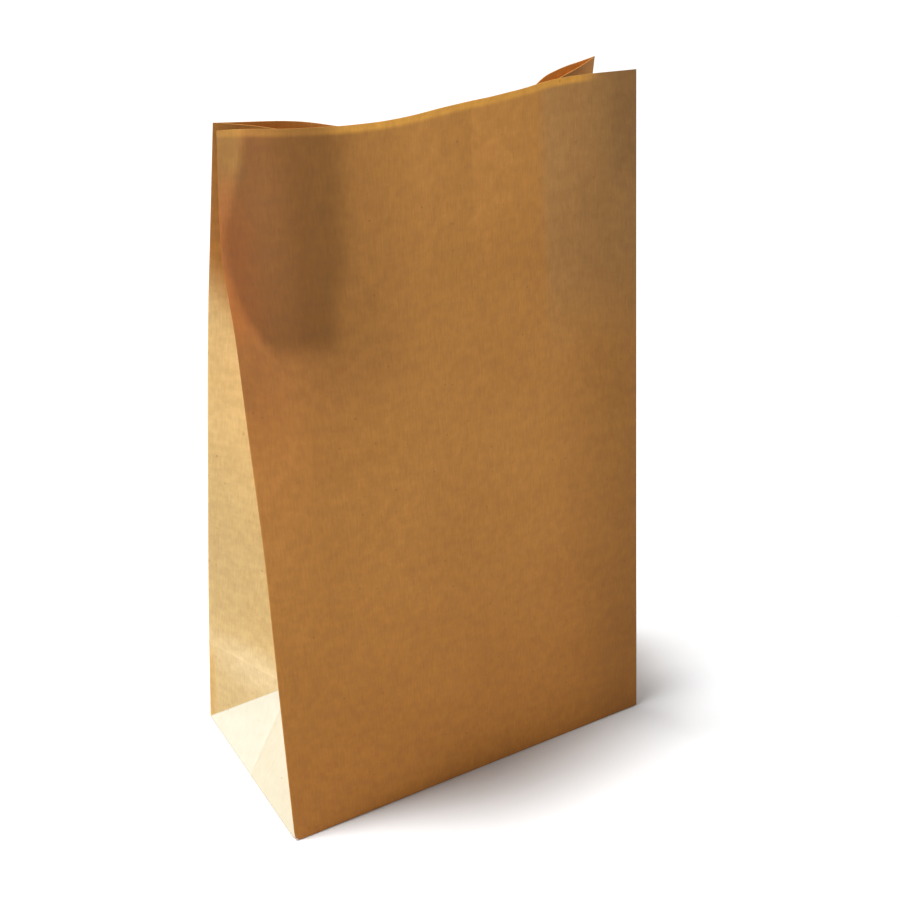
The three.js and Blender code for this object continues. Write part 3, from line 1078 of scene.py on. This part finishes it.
def sheet_regions(tree, measures):
    """Where the paper's parts are, 1 on them and 0 off them."""
    inside = add_fact(tree, "inside")
    outside = add_maths(tree, "Outer Face", "SUBTRACT", 1.0, inside)
    # Only the left gusset, which faces the lamp, gets painted light; the right one stays plain
    # kraft
    at_left = between(tree, "Left Gusset Alone", measures["around"], 0.250, 0.300)
    gusset = add_product(tree, "Left Gusset Outside", add_fact(tree, "on_gusset"), outside, at_left)
    # The gusset's top, above a slanting border, keeps the kraft as painted shade
    below_shade = between(tree, "Gusset below Its Painted Shade", measures["slanted_up"], 0.214, 0.188)
    below = between(tree, "Below the Diagonal", measures["above_diagonal"], 0.00035, -0.00005)
    return {
        "inside": inside,
        "outside": outside,
        "front": add_product(tree, "Front Outside", add_fact(tree, "on_front"), outside),
        "lit_gusset": add_product(tree, "Lit Gusset", gusset, below_shade),
        "triangle": add_product(tree, "End Triangle", below, gusset),
    }


def painted_buckle_light(tree, measures):
    """Painted shade at the left of the faint buckle below the mouth, and painted light at its
    right.
    """
    off = add_maths(tree, "From the Buckle", "SUBTRACT", measures["around"], BUCKLE_AROUND)
    beside = add_maths(tree, "Either Side of the Buckle", "ABSOLUTE", off)
    near = between(tree, "Beside the Buckle", beside, 0.024, 0.0, 0.0, 0.05)
    side = between(tree, "Buckle's Two Sides", off, -0.0008, 0.0008, -1.0, 1.0)
    high = between(tree, "Height of the Buckle", measures["up"], 0.198, 0.212)
    return add_maths(tree, "Buckle Tone", "ADD", add_product(tree, "Buckle", near, side, high), 1.0)


def lay_tones(tree, measures, regions, colours):
    """The kraft with all its layers laid over it, most of them painted light and shade."""
    around, up = measures["around"], measures["up"]
    lit_cream, shaded_cream = tuple(colours.lit_cream), tuple(colours.shaded_cream)
    in_front = between(tree, "Front of the Centre Crease", around, 0.4236, 0.4244)
    named = {name: tuple(getattr(colours, name)) for name in ("lit_kraft", "glow", "backlit_lip")}
    # The triangle's lit half and its painted, slightly shaded half beside the front
    named["lit_and_shaded_creams"] = mix_colours(tree, "Lit and Shaded Halves of the Triangle", in_front, lit_cream, shaded_cream)
    # Painted light up the gusset: darker low down, lighter towards its top
    named["painted_gusset_light"] = between(tree, "Painted Gusset Light by Height", up, 0.080, 0.185, 0.86, 1.27)
    named["painted_buckle_light"] = painted_buckle_light(tree, measures)
    ground = tuple(colours.kraft)
    for label, region, colour, steps, covers in LAYERS:
        masks = [
            between(tree, f"{label}: {measure.replace('_', ' ')}", measures[measure], *span)
            for measure, *span in steps
        ]
        mask = add_product(tree, label + " Place", *masks, regions[region])
        blend = "MIX" if covers else "MULTIPLY"
        ground = mix_colours(tree, label, mask, ground, named.get(colour, colour), blend)
    return ground


def paper_shade(tree, grains, measures, triangle):
    """The shade of the grains and the worn folds, warmer where it is darker."""
    tones = [
        between(tree, GRAINS[name].label + " Tone", grains[name], *GRAIN_SPAN, low, high)
        for name, low, high in GRAIN_TONES
    ]
    worn = between(tree, "Fold Wear", measures["from_fold"], WORN_REACH, 0.0, 1.0, WORN_TONE)
    tone = add_product(tree, "Worn Tone", *tones, worn)
    greener = add_maths(tree, "Tone of the Green", "POWER", tone, GREEN_POWER)
    bluer = add_maths(tree, "Tone of the Blue", "POWER", tone, BLUE_POWER)
    parts = {0: tone, 1: greener, 2: bluer}
    warm = add_node(tree, "ShaderNodeCombineColor", "Warm Shade", None, parts).outputs[0]
    calmer = add_maths(tree, "Calmer Triangle", "MULTIPLY", triangle, TRIANGLE_CALM)
    return mix_colours(tree, "Tone with a Calmer Triangle", calmer, warm, WHITE)


def bark_specks(tree, place):
    """How strongly a speck of bark shows at each point."""
    inputs = {"Vector": place, "Scale": SPECKS_PER_METRE, "Randomness": 1.0}
    cells = add_node(tree, "ShaderNodeTexVoronoi", "Bark Specks", {"feature": "F1"}, inputs).outputs
    speck = between(tree, "Speck Size", cells["Distance"], *SPECK_EDGE)
    parts = add_node(tree, "ShaderNodeSeparateColor", "Speck Choice", None, {0: cells["Color"]})
    chosen = between(tree, "Few Specks", parts.outputs[0], *SPECK_CHOICE)
    return add_product(tree, "Soft Specks", speck, chosen, SPECK_STRENGTH)


def fine_relief(tree, grains):
    """The fine reliefs, each over the one before."""
    both = add_maths(tree, "Fibre Heights", "ADD", grains["fibres"], grains["strays"])
    heights = grains | {"both_fibres": both}
    below = {}
    for label, strength, depth, grain in FINE_RELIEFS:
        inputs = {"Strength": strength, "Distance": depth, "Height": heights[grain], **below}
        below = {"Normal": add_node(tree, "ShaderNodeBump", label, None, inputs).outputs[0]}
    return below["Normal"]


def kraft_material(colours):
    """Kraft paper: mottled pulp, fibres, bark specks and worn folds, with painted light and shade,
    such as darker fields where plies lie behind the front.
    """
    material = bpy.data.materials.new("kraft_paper")
    tree = bare_tree(material)
    settings = {"uv_map": SHEET_MAP}
    place = add_node(tree, "ShaderNodeUVMap", "Place on the Sheet", settings).outputs[0]
    grains = {name: add_grain(tree, place, grain) for name, grain in GRAINS.items()}
    measures = sheet_measures(tree, place)
    regions = sheet_regions(tree, measures)
    ground = lay_tones(tree, measures, regions, colours)
    shade = paper_shade(tree, grains, measures, regions["triangle"])
    ground = mix_colours(tree, "Toned Kraft", 1.0, ground, shade, "MULTIPLY")
    specks = bark_specks(tree, place)
    ground = mix_colours(tree, "Specked Kraft", specks, ground, tuple(colours.shive))
    inputs = {
        "Base Color": ground,
        "Roughness": between(tree, "Calendered Patches", grains["flocs"], 0.3, 0.7, 0.72, 0.88),
        "Normal": fine_relief(tree, grains),
        "Specular IOR Level": 0.2,
    }
    shader = add_node(tree, "ShaderNodeBsdfPrincipled", "Kraft Paper", None, inputs)
    add_node(tree, "ShaderNodeOutputMaterial", "Surface", None, {"Surface": shader.outputs[0]})
    return material


class PAPERBAG_OT_fold(bpy.types.Operator):
    """Fold the kraft sheet into the bag, with its relief and its paper"""

    bl_idname = "paper_bag.fold"
    bl_label = "Folded Bag"

    def execute(self, context):
        sizes = context.scene.bag_sizes
        mesh = BagMesh(sizes)
        add_sheet(mesh, SheetGrid(sizes), sizes)
        top = FLAP_TOP * sizes.paper
        add_flap(mesh, sizes, 1, sizes.paper, top)
        add_flap(mesh, sizes, -1, 0, top)
        bag = mesh.object("folded_bag")
        bake_relief(bag, sizes, kraft_material(context.scene.kraft_colours))
        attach(bag, "root")
        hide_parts("paper_bag")
        return {"FINISHED"}


FLOOR_SIZE = 8.0
FLOOR_GAP = 0.0001
AIM = Vector((0.0118, 0.0, 0.1171))
OVERHEAD = (-0.14, 0.113, 1.0)
SENSOR = 36.0
NEAREST_VIEW = 0.01

# The size and the place of each soft lamp
SIDE_LAMP = (0.4, (-0.85, 0.34, 0.36))
FRONT_LAMP = (0.5, (0.1, -1.15, 0.22))


def floor_material(stage):
    """A plain, nearly white floor that keeps the bag's shadow."""
    material = bpy.data.materials.new("plain_floor")
    tree = bare_tree(material)
    inputs = {"Base Color": (*stage.floor, 1.0), "Roughness": 0.9, "Specular IOR Level": 0.0}
    matt = add_node(tree, "ShaderNodeBsdfPrincipled", "Matt Floor", None, inputs)
    add_node(tree, "ShaderNodeOutputMaterial", "Surface", None, {"Surface": matt.outputs[0]})
    return material


def make_floor(stage):
    """The floor that the bag stands on."""
    sides = ((-1, -1), (1, -1), (1, 1), (-1, 1))
    corners = [(x * FLOOR_SIZE / 2, y * FLOOR_SIZE / 2, -FLOOR_GAP) for x, y in sides]
    mesh = bpy.data.meshes.new("floor")
    mesh.from_pydata(corners, [], [(0, 1, 2, 3)])
    mesh.materials.append(floor_material(stage))
    floor = bpy.data.objects.new("floor", mesh)
    bpy.context.scene.collection.objects.link(floor)


def make_room(stage):
    """Even light from all round, and white where the camera looks past the floor."""
    world = bpy.data.worlds.new("room")
    tree = bare_tree(world)
    paths = add_node(tree, "ShaderNodeLightPath", "Who Looks").outputs
    rays = [paths[f"Is {kind} Ray"] for kind in ("Camera", "Glossy", "Transmission")]
    seen = add_maths(tree, "Camera or Reflection", "MAXIMUM", *rays[:2])
    seen = add_maths(tree, "Or Glass", "MAXIMUM", seen, rays[2])
    strength = add_maths(tree, "Light or White", "MAXIMUM", seen, stage.room_light)
    inputs = {"Color": (*WHITE, 1.0), "Strength": strength}
    light = add_node(tree, "ShaderNodeBackground", "Room", None, inputs)
    add_node(tree, "ShaderNodeOutputWorld", "World", None, {"Surface": light.outputs[0]})
    bpy.context.scene.world = world


def hang_lamp(lamp, place):
    """Hangs a lamp, aimed at the bag."""
    holder = bpy.data.objects.new(lamp.name, lamp)
    holder.location = place
    holder.rotation_euler = (AIM - Vector(place)).to_track_quat("-Z", "Y").to_euler()
    bpy.context.scene.collection.objects.link(holder)


def make_lamp(name, power, size, place):
    """A square soft lamp."""
    lamp = bpy.data.lights.new(name, "AREA")
    lamp.energy = power
    lamp.size = size
    hang_lamp(lamp, place)


def make_overhead(stage):
    """The even light from overhead, a little behind the bag and to its left."""
    lamp = bpy.data.lights.new("overhead_light", "SUN")
    lamp.energy = stage.sun_light
    lamp.angle = stage.sun_softness
    hang_lamp(lamp, AIM + Vector(OVERHEAD))


def make_camera(stage):
    """The camera, at the photograph's viewing angle."""
    data = bpy.data.cameras.new("view")
    data.lens = stage.lens
    data.sensor_width = SENSOR
    data.clip_start = NEAREST_VIEW
    camera = bpy.data.objects.new("view", data)
    flat = math.cos(stage.elevation)
    sideways, height = math.sin(stage.azimuth) * flat, math.sin(stage.elevation)
    back = Vector((sideways, -math.cos(stage.azimuth) * flat, height))
    camera.location = AIM + back * stage.distance
    camera.rotation_euler = (-back).to_track_quat("-Z", "Y").to_euler()
    bpy.context.scene.collection.objects.link(camera)
    bpy.context.scene.camera = camera


class PAPERBAG_OT_stage(bpy.types.Operator):
    """Set the floor, the room, the lamps and the camera"""

    bl_idname = "paper_bag.stage"
    bl_label = "Stage"

    def execute(self, context):
        stage = context.scene.stage_settings
        make_floor(stage)
        make_room(stage)
        make_overhead(stage)
        make_lamp("side_light", stage.side_light, *SIDE_LAMP)
        make_lamp("front_light", stage.front_light, *FRONT_LAMP)
        make_camera(stage)
        context.scene.view_settings.view_transform = "Standard"
        return {"FINISHED"}


class PAPERBAG_PT_panel(bpy.types.Panel):
    """The bag's pieces, sizes and colours"""

    bl_idname = "PAPERBAG_PT_panel"
    bl_label = "Paper Bag"
    bl_space_type = "VIEW_3D"
    bl_region_type = "UI"
    bl_category = "Paper Bag"

    def draw(self, context):
        layout = self.layout
        for operator in OPERATORS:
            layout.operator(operator.bl_idname)
        for group in GROUPS:
            settings = getattr(context.scene, group)
            box = layout.box()
            for name in settings.bl_rna.properties.keys():
                if name not in ("rna_type", "name"):
                    box.prop(settings, name)


OPERATORS = (PAPERBAG_OT_fold, PAPERBAG_OT_stage)
GROUPS = {"bag_sizes": BagSizes, "kraft_colours": KraftColours, "stage_settings": StageSettings}


def register():
    """Makes the bag's settings, operators and panel known to Blender."""
    for kind in (*GROUPS.values(), *OPERATORS, PAPERBAG_PT_panel):
        bpy.utils.register_class(kind)
    for name, kind in GROUPS.items():
        setattr(bpy.types.Scene, name, bpy.props.PointerProperty(type=kind))


def unregister():
    """Takes them away again."""
    for name in GROUPS:
        delattr(bpy.types.Scene, name)
    for kind in reversed((*GROUPS.values(), *OPERATORS, PAPERBAG_PT_panel)):
        bpy.utils.unregister_class(kind)


def main():
    """Makes the bag and its stage."""
    register()
    bpy.ops.paper_bag.fold()
    bpy.ops.paper_bag.stage()
    bpy.context.view_layer.update()


if __name__ == "__main__":
    main()
